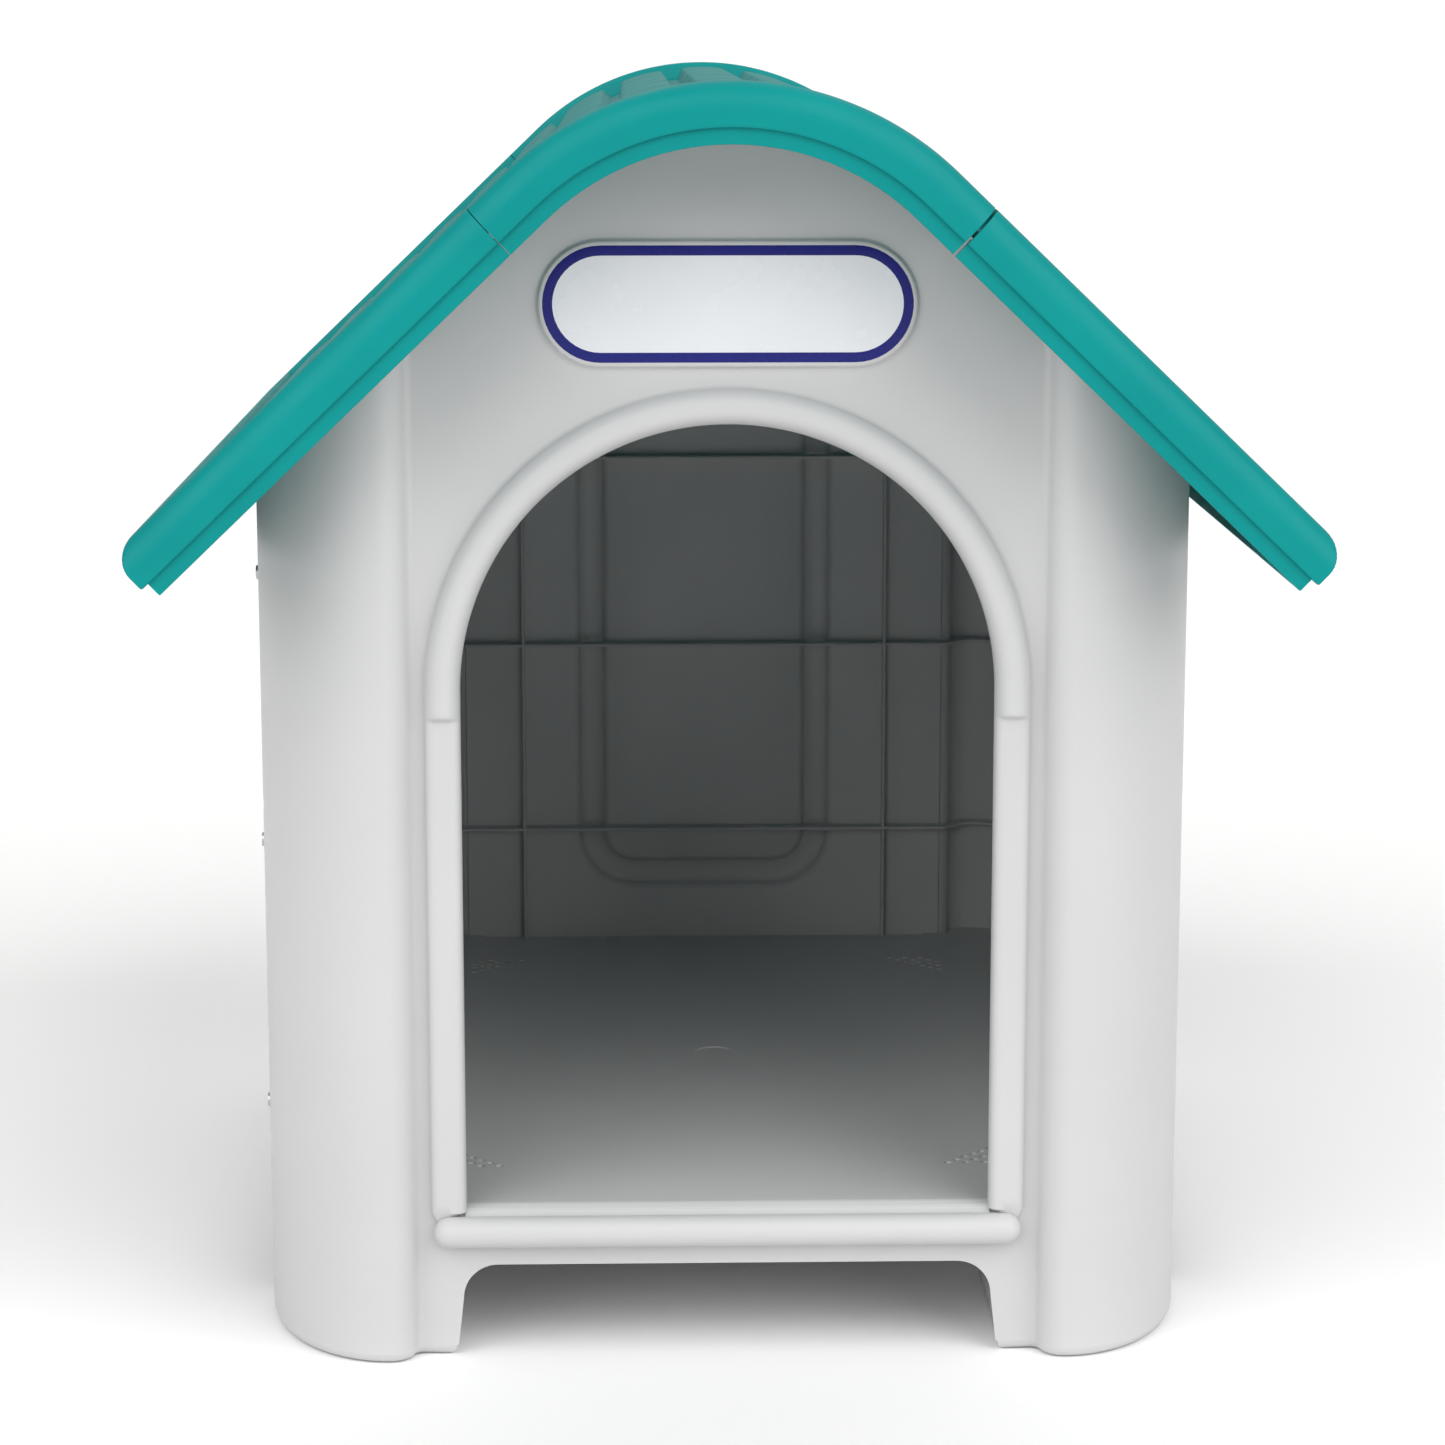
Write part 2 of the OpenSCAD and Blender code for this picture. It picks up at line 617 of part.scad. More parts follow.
module locating_ribs() { // reach down inside the end walls and keep the roof square
    x0 = crest(seam + 14, 0)[0];
    x1 = side_x - wall - rib_h - 14;
    n0 = under_n - 1;
    for (m = [0, web_count]) along_y(web_ys[m] - rib_t / 2, web_ys[m] + rib_t / 2)
        polygon([[x0, roof_z(x0, n0)], [x1, roof_z(x1, n0)],
            [x1, roof_z(x1, n0) - 14], [x0, roof_z(x0, n0) - 14]]);
}
module roof_right() { color(roof_teal) roof_side(); }
module roof_left() { color(roof_teal) mirror([1, 0, 0]) roof_side(); }

// --- label and fasteners -------------------------------------------------------

module name_label() {
    w = plate_w - 2 * plate_margin - 2 * gap;
    h = plate_h - 2 * plate_margin - 2 * gap;
    color("white") along_y(-flat_y - plate_out, -flat_y - plate_out + label_t)
        translate([0, plate_z]) stadium(w, h);
}
// A pan-head screw: the head sits at z = 0 and the shank runs down.
module screw(length) {
    color(screw_grey) {
        difference() {
            cylinder(h = head_h, d1 = head_d, d2 = head_d - 2);
            for (a = [0, 90]) rotate([0, 0, a]) translate([0, 0, head_h])
                cube([head_d * 0.55, 1.1, 2.2], center = true);
        }
        translate([0, 0, -length]) cylinder(h = length + eps, d = screw_d);
    }
}
module corner_screw_set(x, y) {
    for (z = corner_z) translate([x * body_w / 2, y * screw_y, z])
        rotate([0, x * 90, 0]) screw(2 * wall + boss_h - 3);
}
module seam_screw_set() {
    at_seam() translate([0, 0, under_n - tongue_t]) mirror([0, 0, 1]) screw(tongue_t + 6);
}
floor_panel();
front_wall();
rear_wall();
left_wall();
right_wall();
roof_ridge();
roof_left();
roof_right();
name_label();
corner_screw_set(-1, -1);  // screws_front_left
corner_screw_set(1, -1);  // screws_front_right
corner_screw_set(-1, 1);  // screws_rear_left
corner_screw_set(1, 1);  // screws_rear_right
mirror([1, 0, 0]) seam_screw_set();  // screws_seam_left
seam_screw_set();  // screws_seam_right
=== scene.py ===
import math
import bmesh
import bpy
import numpy as np
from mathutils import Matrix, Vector


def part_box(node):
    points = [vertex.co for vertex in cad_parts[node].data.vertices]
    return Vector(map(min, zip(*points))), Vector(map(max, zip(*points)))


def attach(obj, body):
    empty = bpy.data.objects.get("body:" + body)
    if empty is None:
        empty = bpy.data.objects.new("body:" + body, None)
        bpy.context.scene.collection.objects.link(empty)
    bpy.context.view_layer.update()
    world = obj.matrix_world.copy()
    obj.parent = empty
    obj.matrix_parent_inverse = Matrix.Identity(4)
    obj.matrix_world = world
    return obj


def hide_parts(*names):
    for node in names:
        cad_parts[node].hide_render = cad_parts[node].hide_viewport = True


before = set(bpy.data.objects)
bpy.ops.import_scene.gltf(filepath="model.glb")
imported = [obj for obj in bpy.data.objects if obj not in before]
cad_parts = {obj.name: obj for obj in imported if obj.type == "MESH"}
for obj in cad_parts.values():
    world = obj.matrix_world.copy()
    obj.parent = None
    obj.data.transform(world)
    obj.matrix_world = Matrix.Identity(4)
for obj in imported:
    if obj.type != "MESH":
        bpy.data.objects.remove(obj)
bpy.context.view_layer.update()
print("frame loaded")

mm = 0.001


def hexToLinear(code):
    # sRGB hex to the linear values the shader sockets take
    parts = [int(code[k:k + 2], 16) / 255 for k in (1, 3, 5)]
    return [c / 12.92 if c <= 0.04045 else ((c + 0.055) / 1.055) ** 2.4 for c in parts] + [1.0]


# sizes in millimetres that several pieces share; the outer ones come from the frame
wallLow, wallHigh = (np.array(v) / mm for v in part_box("front_wall"))
ridgeLow, ridgeHigh = (np.array(v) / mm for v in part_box("roof_ridge"))
slabLow, slabHigh = (np.array(v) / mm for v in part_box("roof_right"))
house = {
    "halfWidth": wallHigh[0],
    "halfLength": -wallLow[1],
    "top": ridgeHigh[2],
    "roofHalfWidth": slabHigh[0],
    "roofHalfLength": ridgeHigh[1],
    "wall": 3.0,
    "columnWidth": 83.0,
    "columnDepth": 105.0,
    "columnStep": 14.0,
    "lap": 20.0,
    "floorTop": 80.0,
    "ribHeight": 10.0,
    "ribThickness": 2.0,
    "ribLevels": (154.5, 279.5, 404.5),
    "footHeight": 49.0,
    "footHalfGap": 141.0,
    "roofAngle": math.radians(43.7),
    "ridgeRadius": 158.0,
    "seam": 145.0,
    "gableDepth": -16.3,
}
flatY = house["halfLength"] - house["columnStep"]
columnX = house["halfWidth"] - house["columnWidth"]
crownX = columnX + house["columnStep"]
fillet = 4.0  # soft inner corner between the flat wall and a column
panelX = crownX - math.sqrt(house["columnStep"] ** 2 + 2 * fillet * house["columnStep"])
roundY = house["halfLength"] - house["columnDepth"]
sinA, cosA = math.sin(house["roofAngle"]), math.cos(house["roofAngle"])
arcS = house["ridgeRadius"] * house["roofAngle"]


def crest(s, n):
    # s runs along the crest from the ridge, n points out of the roof:
    # a circular arc over the ridge, then a straight slope on each side
    s, n = np.broadcast_arrays(np.asarray(s, float), np.asarray(n, float))
    a = np.minimum(np.abs(s) / house["ridgeRadius"], house["roofAngle"])
    over = np.maximum(np.abs(s) - arcS, 0)
    x = (house["ridgeRadius"] + n) * np.sin(a) + over * np.cos(a)
    z = house["top"] - house["ridgeRadius"] + (house["ridgeRadius"] + n) * np.cos(a) - over * np.sin(a)
    return np.sign(s) * x, z


def gableTop(x, n):
    # height of the crest offset by n above any x: circle near the ridge, straight line beyond it
    r = house["ridgeRadius"] + n
    x = np.abs(x)
    arc = np.sqrt(np.maximum(r * r - x * x, 0))
    slope = r * cosA - (x - r * sinA) * sinA / cosA
    return house["top"] - house["ridgeRadius"] + np.where(x < r * sinA, arc, slope)


def gridPatch(points, wrap=False):
    # a grid of points (rows along the first axis) becomes quads; wrap joins the last row to the first
    nu, nv = points.shape[:2]
    index = np.arange(nu * nv).reshape(nu, nv)
    if wrap:
        index = np.vstack([index, index[:1]])
    quads = np.stack([index[:-1, :-1], index[1:, :-1], index[1:, 1:], index[:-1, 1:]], -1)
    return points.reshape(-1, 3), quads.reshape(-1, 4)


def facing(patch, centre):
    # turns a patch so that its faces look away from a point
    points, quads = patch
    corners = points[quads]
    normals = np.cross(corners[:, 2] - corners[:, 0], corners[:, 3] - corners[:, 1])
    outward = np.sum(normals * (corners.mean(1) - np.asarray(centre, float)))
    return points, quads[:, ::-1] if outward < 0 else quads


def capped(rings, centre):
    # closes a carried profile: rings are (around, along), and both ends shrink to their middles
    middle = rings.mean(0, keepdims=True)
    ends = [np.broadcast_to(middle[:, k:k + 1 or None], (len(rings), 1, 3)) for k in (0, -1)]
    return facing(gridPatch(np.concatenate([ends[0], rings, ends[1]], 1), wrap=True), centre)


def mirrored(patch, axis):
    points, quads = patch
    points = points.copy()
    points[:, axis] *= -1
    return points, quads[:, ::-1]


def turned(patch):
    # half a turn about the upright axis
    points, quads = patch
    return points * np.array([-1, -1, 1]), quads


def meshFrom(name, patches):
    # patches are joined, doubled points merged and flat slivers removed
    points = np.concatenate([p for p, q in patches]) * mm
    starts = np.cumsum([0] + [len(p) for p, q in patches[:-1]])
    quads = np.concatenate([q + k for k, (p, q) in zip(starts, patches)])
    mesh = bpy.data.meshes.new(name)
    mesh.from_pydata(points, [], quads.tolist())
    work = bmesh.new()
    work.from_mesh(mesh)
    bmesh.ops.remove_doubles(work, verts=work.verts, dist=1e-5)
    bmesh.ops.dissolve_degenerate(work, edges=work.edges, dist=1e-6)
    work.to_mesh(mesh)
    work.free()
    return mesh


def addPiece(name, material, body, replaced=(), shells=(), solids=(), thickness=0.0, bevel=0.0, sharp=38):
    # shells get a wall of the given thickness on their inner side, solids are closed already
    meshes = []
    for kind, patches in (("shell", shells), ("solid", solids)):
        if not patches:
            continue
        mesh = meshFrom(name + kind, patches)
        piece = bpy.data.objects.new(name + kind, mesh)
        bpy.context.scene.collection.objects.link(piece)
        if kind == "shell":
            wall = piece.modifiers.new("wall", "SOLIDIFY")
            wall.thickness = thickness * mm
            wall.offset = -1
            wall.use_quality_normals = True
        if bevel:
            edge = piece.modifiers.new("edge", "BEVEL")
            edge.width = bevel * mm
            edge.segments = 2
            edge.limit_method = "ANGLE"
            edge.angle_limit = math.radians(50)
        bpy.context.view_layer.update()
        seen = piece.evaluated_get(bpy.context.evaluated_depsgraph_get())
        meshes.append(bpy.data.meshes.new_from_object(seen))
        bpy.data.objects.remove(piece)
    work = bmesh.new()
    for mesh in meshes:
        work.from_mesh(mesh)
    final = bpy.data.meshes.new(name)
    work.to_mesh(final)
    work.free()
    final.materials.clear()
    final.materials.append(material)
    final.polygons.foreach_set("material_index", np.zeros(len(final.polygons), np.int32))
    final.shade_smooth()
    final.set_sharp_from_angle(angle=math.radians(sharp))
    piece = bpy.data.objects.new(name, final)
    bpy.context.scene.collection.objects.link(piece)
    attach(piece, body)
    if replaced:
        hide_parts(*replaced)
    print("made", name, len(final.polygons), "faces")
    return piece




def addNode(tree, kind, settings=None, links=None, **sockets):
    # one node with its settings, its socket values and its incoming links
    node = tree.nodes.new(kind)
    for key, value in (settings or {}).items():
        setattr(node, key, value)
    for key, value in sockets.items():
        node.inputs[key.replace("_", " ")].default_value = value
    for key, source in (links or {}).items():
        tree.links.new(source, node.inputs[key])
    return node


def mouldedPlastic(name, look):
    # polypropylene out of a polished mould: slow colour drift of the masterbatch, faint flow
    # clouding in the gloss, fine orange-peel, and a few scuffs
    material = bpy.data.materials.new(name)
    material.use_nodes = True
    tree = material.node_tree
    tree.nodes.clear()
    place = addNode(tree, "ShaderNodeTexCoord").outputs["Object"]
    cloud = addNode(tree, "ShaderNodeTexNoise", links={"Vector": place},
                    Scale=1 / (look["cloudSize"] * mm), Detail=3.0)
    blend = addNode(tree, "ShaderNodeMix", {"data_type": "RGBA"}, {"Factor": cloud.outputs["Fac"]})
    blend.inputs[6].default_value = hexToLinear(look["dark"])
    blend.inputs[7].default_value = hexToLinear(look["light"])
    gloss = addNode(tree, "ShaderNodeTexNoise", links={"Vector": place},
                    Scale=1 / (look["glossSize"] * mm), Detail=5.0)
    rough = addNode(tree, "ShaderNodeMapRange", links={"Value": gloss.outputs["Fac"]},
                    From_Min=0.3, From_Max=0.7, To_Min=look["roughness"][0], To_Max=look["roughness"][1])
    peel = addNode(tree, "ShaderNodeTexNoise", links={"Vector": place},
                   Scale=1 / (look["peelSize"] * mm), Detail=2.0)
    bump = addNode(tree, "ShaderNodeBump", links={"Height": peel.outputs["Fac"]},
                   Strength=look["peelStrength"], Distance=look["peelDepth"] * mm)
    shader = addNode(tree, "ShaderNodeBsdfPrincipled", links={
        "Base Color": blend.outputs[2], "Roughness": rough.outputs["Result"],
        "Normal": bump.outputs["Normal"]})
    shader.inputs["IOR"].default_value = look["ior"]
    shader.inputs["Specular IOR Level"].default_value = look["specular"]
    addNode(tree, "ShaderNodeOutputMaterial", links={"Surface": shader.outputs["BSDF"]})
    material.diffuse_color = hexToLinear(look["light"])
    return material


greyPlastic = mouldedPlastic("greyMouldedPolypropylene", {
    "dark": "#bdbdbe", "light": "#c8c8c8", "cloudSize": 160, "glossSize": 60, "specular": 0.4,
    "roughness": (0.40, 0.52), "peelSize": 1.6, "peelStrength": 0.12, "peelDepth": 0.25, "ior": 1.49})
tealPlastic = mouldedPlastic("tealMouldedPolypropylene", {
    "dark": "#007e7d", "light": "#008f8d", "cloudSize": 70, "glossSize": 40, "specular": 0.14,
    "roughness": (0.34, 0.48), "peelSize": 1.6, "peelStrength": 0.15, "peelDepth": 0.3, "ior": 1.49})
whiteFilm = mouldedPlastic("whiteLabelFilm", {
    "dark": "#dcdee2", "light": "#e4e6ea", "cloudSize": 40, "glossSize": 30, "specular": 0.4,
    "roughness": (0.22, 0.30), "peelSize": 1.0, "peelStrength": 0.05, "peelDepth": 0.1, "ior": 1.5})
navyInk = mouldedPlastic("navyPrintedInk", {
    "dark": "#10156b", "light": "#141a76", "cloudSize": 20, "glossSize": 20, "specular": 0.3,
    "roughness": (0.24, 0.32), "peelSize": 1.0, "peelStrength": 0.05, "peelDepth": 0.1, "ior": 1.5})


def zincSteel():
    # zinc-plated steel: bright grey with a soft crystalline clouding
    material = bpy.data.materials.new("zincPlatedSteel")
    material.use_nodes = True
    tree = material.node_tree
    tree.nodes.clear()
    place = addNode(tree, "ShaderNodeTexCoord").outputs["Object"]
    grain = addNode(tree, "ShaderNodeTexVoronoi", links={"Vector": place}, Scale=1 / (1.2 * mm))
    blend = addNode(tree, "ShaderNodeMix", {"data_type": "RGBA"}, {"Factor": grain.outputs["Distance"]})
    blend.inputs[6].default_value = hexToLinear("#a9adb1")
    blend.inputs[7].default_value = hexToLinear("#c3c6c9")
    rough = addNode(tree, "ShaderNodeMapRange", links={"Value": grain.outputs["Distance"]},
                    To_Min=0.28, To_Max=0.42)
    shader = addNode(tree, "ShaderNodeBsdfPrincipled", links={
        "Base Color": blend.outputs[2], "Roughness": rough.outputs["Result"]}, Metallic=1.0)
    addNode(tree, "ShaderNodeOutputMaterial", links={"Surface": shader.outputs["BSDF"]})
    return material


zincPlate = zincSteel()
print("materials made")


roof = {
    "rimDepth": 26.0, "rimHeight": 22.0, "lipHeight": 8.0, "lipBack": 2.5, "nose": 14.0,
    "channel": -10.0, "blockHeight": 7.0, "bottomHalf": 3.0, "flank": 4.2, "eaveBand": 34.0,
    "ridgeBlocks": 7, "sideBlocks": 5, "roundBack": 12.0, "roundDown": 14.0, "blockEnd": 7.0,
    "thickness": 3.0, "seamGap": 0.5, "openSeam": 1.1, "flange": 6.5, "lipWall": 3.0,
}
eaveS = arcS + roof["nose"] + (house["roofHalfWidth"] - roof["nose"]
                               - (house["ridgeRadius"] - roof["nose"]) * sinA) / cosA


def rimRows():
    # from a small flange behind the lip round the lower edge, up the face, round the quarter-ellipse, over
    # the rim and down to the channels: distance back, outer height, inner height, share of the blocks, mitre
    low = -roof["rimHeight"]
    d = [roof["flange"], 1.2, 0.4, 0.05, 0.0, 0.0]
    outer = [low, low, low + 0.25, low + 0.8, low + 1.6, -17.0]
    mitre = [roof["flange"], 1.2, 0.4, 0.05]
    turn = np.radians(np.linspace(0, 90, 11))
    d += list(roof["roundBack"] * (1 - np.cos(turn)))
    outer += list(-roof["roundDown"] * (1 - np.sin(turn)))
    inner = [0.0] * len(d)
    rim, deep = roof["rimDepth"], roof["channel"]
    for q, h in ((rim - 3, 0), (rim - 1.4, -0.25), (rim - 0.5, -0.9), (rim, -2), (rim + 1.6, deep + 1.6),
                 (rim + 2.3, deep + 0.5), (rim + 3.4, deep)):
        d.append(q)
        outer.append(0.0)
        inner.append(h)
    blocks = [0.0] * len(d)
    start = rim + 3.4 + roof["blockEnd"]
    for q, share in ((start, 0), (start + 0.8, 0.06), (start + 4.2, 0.88), (start + 5.0, 0.97),
                     (start + 6.4, 1.0)):
        d.append(q)
        outer.append(0.0)
        inner.append(deep)
        blocks.append(share)
    mitre += [0.0] * (len(d) - len(mitre))
    return [np.array(v, float) for v in (d, outer, inner, blocks, mitre)]


def blockColumns(s0, s1, count):
    # across one block: channel, flank, rounded shoulder and a slightly crowned top
    pitch = (s1 - s0) / count
    half, flat, run = pitch / 2, roof["bottomHalf"], roof["flank"]
    offsets = [half - flat + 0.6, half - flat, half - flat - 0.5, half - flat - run + 0.6,
               half - flat - run, half - flat - run - 1.2]
    heights = [0.0, 0.05, 0.4, roof["blockHeight"] - 0.9, roof["blockHeight"] - 0.35,
               roof["blockHeight"] - 0.05]
    inside = np.linspace(-offsets[-1], offsets[-1], 7)[1:-1]
    s, b = [], []
    for k in range(count):
        middle = s0 + (k + 0.5) * pitch
        s += ([middle - half] + [middle - q for q in offsets] + list(middle + inside)
              + [middle + q for q in offsets[::-1]])
        b += ([0.0] + heights + list(roof["blockHeight"] + 0.5 * (1 - (inside / offsets[-1]) ** 2) - 0.05)
              + heights[::-1])
    return s + [s1], b + [0.0]


def roofSurface(columns, rows):
    # height = the lower of the two outer roundings + the higher of the two inner ones + the blocks;
    # each step of the lower edge stops where the same step of the other edge meets it
    s, colOuter, colInner, colBlock, colMitre = columns
    d, rowOuter, rowInner, rowBlock, rowMitre = rows
    along = np.minimum(s[:, None], eaveS - rowMitre[None, :])
    back = np.maximum(d[None, :], colMitre[:, None])
    n = (np.minimum(colOuter[:, None], rowOuter) + np.maximum(colInner[:, None], rowInner)
         + colBlock[:, None] * rowBlock)
    x, z = crest(along, n)
    half = house["roofHalfLength"]
    middle = np.array([half * f for f in (0.25, 0.5, 0.75)])
    front = np.stack([x, -half + back, z], -1)
    rear = front[:, ::-1] * np.array([1, -1, 1])
    gap = [front[:, -1:] * (1 - f) + rear[:, :1] * f for f in (0.25, 0.5, 0.75)]
    return np.concatenate([front] + gap + [rear], 1)


rows = rimRows()
ends = house["seam"] - roof["seamGap"]
s, b = blockColumns(-ends, ends, roof["ridgeBlocks"])
zero = np.zeros(len(s))
ridgeColumns = [np.array(s), zero, zero + roof["channel"], np.array(b), zero]
ridgeShell = facing(gridPatch(roofSurface(ridgeColumns, rows)), (0, 0, 300))


def slabColumns(begin):
    low = -roof["rimHeight"]
    edge = eaveS - roof["eaveBand"]
    s, b = blockColumns(house["seam"], edge - 1.5, roof["sideBlocks"])
    s[0] = begin
    outer, inner = [0.0] * len(s), [roof["channel"]] * len(s)
    deep = roof["channel"]
    for q, h in ((-0.9, deep + 0.4), (-0.4, deep + 1.6), (0.9, -2), (1.4, -0.9), (2.3, -0.25), (4, 0)):
        s.append(edge + q)
        outer.append(0.0)
        inner.append(h)
    turn = np.radians(np.linspace(0, 90, 11))
    s += list(eaveS - roof["nose"] * (1 - np.sin(turn)))
    outer += list(-roof["nose"] * (1 - np.cos(turn)))
    s += [eaveS, eaveS, eaveS - 0.05, eaveS - 0.4, eaveS - 1.2, eaveS - roof["flange"]]
    outer += [-17.0, low + 1.6, low + 0.8, low + 0.25, low, low]
    mitre = [0.0] * (len(s) - 4) + [0.05, 0.4, 1.2, roof["flange"]]
    inner += [0.0] * (len(s) - len(inner))
    b += [0.0] * (len(s) - len(b))
    return [np.array(v, float) for v in (s, outer, inner, b, mitre)]


def lipSection():
    # the lip's closed section, as distances back from the face and heights
    low, end = -roof["rimHeight"], -roof["rimHeight"] - roof["lipHeight"]
    near, far = roof["lipBack"], roof["lipBack"] + roof["lipWall"]
    d = np.array([near, near, near + 0.15, near + 0.7, far - 0.7, far - 0.15, far, far])
    n = np.array([low + 1.5, end + 0.8, end + 0.2, end, end, end + 0.2, end + 0.8, low + 1.5])
    return d, n


def lipAlongRim(s0, s1, corner):
    # front lip from s0 to s1; with corner its end is mitred for the eave's lip
    d, n = lipSection()
    s = np.linspace(s0, s1, 40) if not corner else np.linspace(s0, eaveS - 8, 30)
    s = np.broadcast_to(s, (len(d), len(s)))
    if corner:
        s = np.concatenate([s, (eaveS - 1.5 - d)[:, None]], 1)
    x, z = crest(s, n[:, None])
    return np.stack([x, np.broadcast_to(-house["roofHalfLength"] + d[:, None], x.shape), z], -1)


def slabLip(begin):
    # round three sides of a slab: front rim, eave, rear rim, mitred at the corners
    front = lipAlongRim(begin, 0, True)
    rear = front[:, ::-1] * np.array([1, -1, 1])
    f = np.linspace(0, 1, 12)[1:-1, None, None]
    eave = (front[None, :, -1] * (1 - f) + rear[None, :, 0] * f).transpose(1, 0, 2)
    rings = np.concatenate([front, eave, rear], 1)
    return capped(rings, rings.mean((0, 1)))


def ridgeLip(end):
    rings = lipAlongRim(-end, end, False)
    patch = capped(rings, rings.mean((0, 1)))
    return [patch, mirrored(patch, 1)]


slabShell = facing(gridPatch(roofSurface(slabColumns(house["seam"]), rows)), (0, 0, 300))
openShell = facing(gridPatch(roofSurface(slabColumns(house["seam"] + roof["openSeam"]), rows)), (0, 0, 300))
addPiece("roofRidge", tealPlastic, "roof", ["roof_ridge"], shells=[ridgeShell], solids=ridgeLip(ends),
         thickness=roof["thickness"], sharp=30)
addPiece("roofRight", tealPlastic, "roof", ["roof_right"], shells=[openShell],
         solids=[slabLip(house["seam"] + roof["openSeam"])],
         thickness=roof["thickness"], sharp=30)
addPiece("roofLeft", tealPlastic, "roof", ["roof_left"], shells=[mirrored(slabShell, 0)],
         solids=[mirrored(slabLip(house["seam"]), 0)], thickness=roof["thickness"], sharp=30)

door = {
    "half": 136.0, "top": 488.7, "low": 78.6, "moulding": 18.5, "archOut": 10.0, "jambOut": 6.0,
    "jambTop": 339.5, "panelLow": 60.0,
}
sink = {"levels": (279.5, 154.5, 75.5, 47.0), "depth": 0.22, "width": 3.5}


def columnPlan():
    # plan of a column: a soft inner corner, a quarter circle out of the wall,
    # a quarter ellipse round the corner,
    # then the straight strip over the side wall
    meet = math.atan2(fillet, crownX - panelX)
    a = np.linspace(0, math.pi / 2 - meet, 6)[:-1]
    inner = np.stack([panelX + fillet * np.sin(a), -flatY - fillet * (1 - np.cos(a))], -1)
    a = np.linspace(math.pi - meet, math.pi / 2, 9)
    shoulder = np.stack([crownX + house["columnStep"] * np.cos(a), -flatY - house["columnStep"] * np.sin(a)],
                        -1)
    a = np.radians(np.linspace(90, 0, 41))[1:]
    corner = np.stack([crownX + (house["halfWidth"] - crownX) * np.cos(a),
                       -roundY - house["columnDepth"] * np.sin(a)], -1)
    strip = np.stack([np.full(3, house["halfWidth"]), -roundY + house["lap"] * np.array([0.33, 0.66, 1.0])],
                     -1)
    return np.concatenate([inner, shoulder, corner, strip])


def columnShell():
    # every plan point is drawn up to the gable; shallow sink marks stand where ribs meet the wall
    plan = columnPlan()
    low, high = 5.0, gableTop(plan[:, 0], house["gableDepth"])
    t = np.linspace(0, 1, 150)
    z = low + t * (high[:, None] - low)
    tangent = np.gradient(plan, axis=0)
    out = np.stack([-tangent[:, 1], tangent[:, 0]], -1) / np.linalg.norm(tangent, axis=1)[:, None]
    out *= np.sign(np.sum(out * (plan - [crownX, -roundY]), 1))[:, None]
    dip = sum(np.exp(-((z - level) / sink["width"]) ** 2) for level in sink["levels"]) * sink["depth"]
    fade = np.minimum(1, np.minimum(np.arange(len(plan)), np.arange(len(plan))[::-1]) / 6)[:, None]
    xy = plan[:, None, :] - out[:, None, :] * (dip * fade)[..., None]
    return facing(gridPatch(np.concatenate([xy, z[..., None]], -1)), (150, -200, 300))


def footShell():
    # a closed box foot: upright sides, rounded lower edge, and a sole that closes on its middle
    plan = columnPlan()
    x0 = house["footHalfGap"] + 1
    loop = np.concatenate([plan, [[x0, plan[-1, 1]], [x0, (plan[-1, 1] - flatY) / 2], [x0, -flatY]]])
    after, before = np.roll(loop, -1, 0), np.roll(loop, 1, 0)
    tangent = (after - loop) / np.linalg.norm(after - loop, axis=1)[:, None] \
        + (loop - before) / np.linalg.norm(loop - before, axis=1)[:, None]
    inward = np.stack([-tangent[:, 1], tangent[:, 0]], -1) / np.linalg.norm(tangent, axis=1)[:, None]
    middle = np.array([195.0, -235.0])
    inward *= np.sign(np.sum(inward * (middle - loop), 1))[:, None]
    turn = np.radians(np.linspace(0, 90, 6))
    inset = np.concatenate([[1.2, 1.2], 5 * (1 - np.cos(turn))])
    height = np.concatenate([[house["footHeight"] - 2, 5.6], 5 * (1 - np.sin(turn))])
    rings = loop[:, None, :] + inward[:, None, :] * inset[None, :, None]
    z = np.broadcast_to(height, rings.shape[:2])
    sole = rings[:, -1:] + (middle - rings[:, -1:]) * np.array([0.4, 1.0])[None, :, None]
    rings = np.concatenate([rings, sole], 1)
    z = np.concatenate([z, np.zeros((len(loop), 2))], 1)
    return facing(gridPatch(np.concatenate([rings, z[..., None]], -1), wrap=True), (190, -240, 30))


def apronShell():
    # the strip under the wall's panel, down to the rounded gap between the feet
    edge, radius, lean = house["footHalfGap"], 18.0, 3.0
    centre = edge - lean - radius
    a = np.radians(np.linspace(90, 0, 13))
    x = np.concatenate([np.linspace(0, centre, 5)[:-1], centre + radius * np.cos(a),
                        [edge - 0.5, edge, panelX]])
    low = np.concatenate([np.full(4, house["footHeight"]),
                          house["footHeight"] - radius + radius * np.sin(a), [9, 5, 5]])
    x, low = np.concatenate([-x[::-1], x[1:]]), np.concatenate([low[::-1], low[1:]])
    t = np.array([0, 0.5, 1.0])
    z = door["panelLow"] + (low[:, None] - door["panelLow"]) * t
    points = np.stack([np.broadcast_to(x[:, None], z.shape), np.full(z.shape, -flatY), z], -1)
    return facing(gridPatch(points), (0, 0, 300))


def rayToEdge(start, direction):
    # distance from each start along its direction to the edge of the wall's flat panel
    span = np.linspace(0, 560, 2801)
    x = start[:, :1] + direction[:, :1] * span
    z = start[:, 1:] + direction[:, 1:] * span
    inside = ((np.abs(x) <= panelX + 1e-6) & (z >= door["panelLow"] - 1e-6)
              & (z <= gableTop(x, house["gableDepth"])))
    last = np.argmin(inside, 1) - 1
    low, high = span[last], span[last + 1]
    for _ in range(24):
        mid = (low + high) / 2
        x = start[:, 0] + direction[:, 0] * mid
        z = start[:, 1] + direction[:, 1] * mid
        ok = ((np.abs(x) <= panelX + 1e-9) & (z >= door["panelLow"] - 1e-9)
              & (z <= gableTop(x, house["gableDepth"])))
        low, high = np.where(ok, mid, low), np.where(ok, high, mid)
    return low


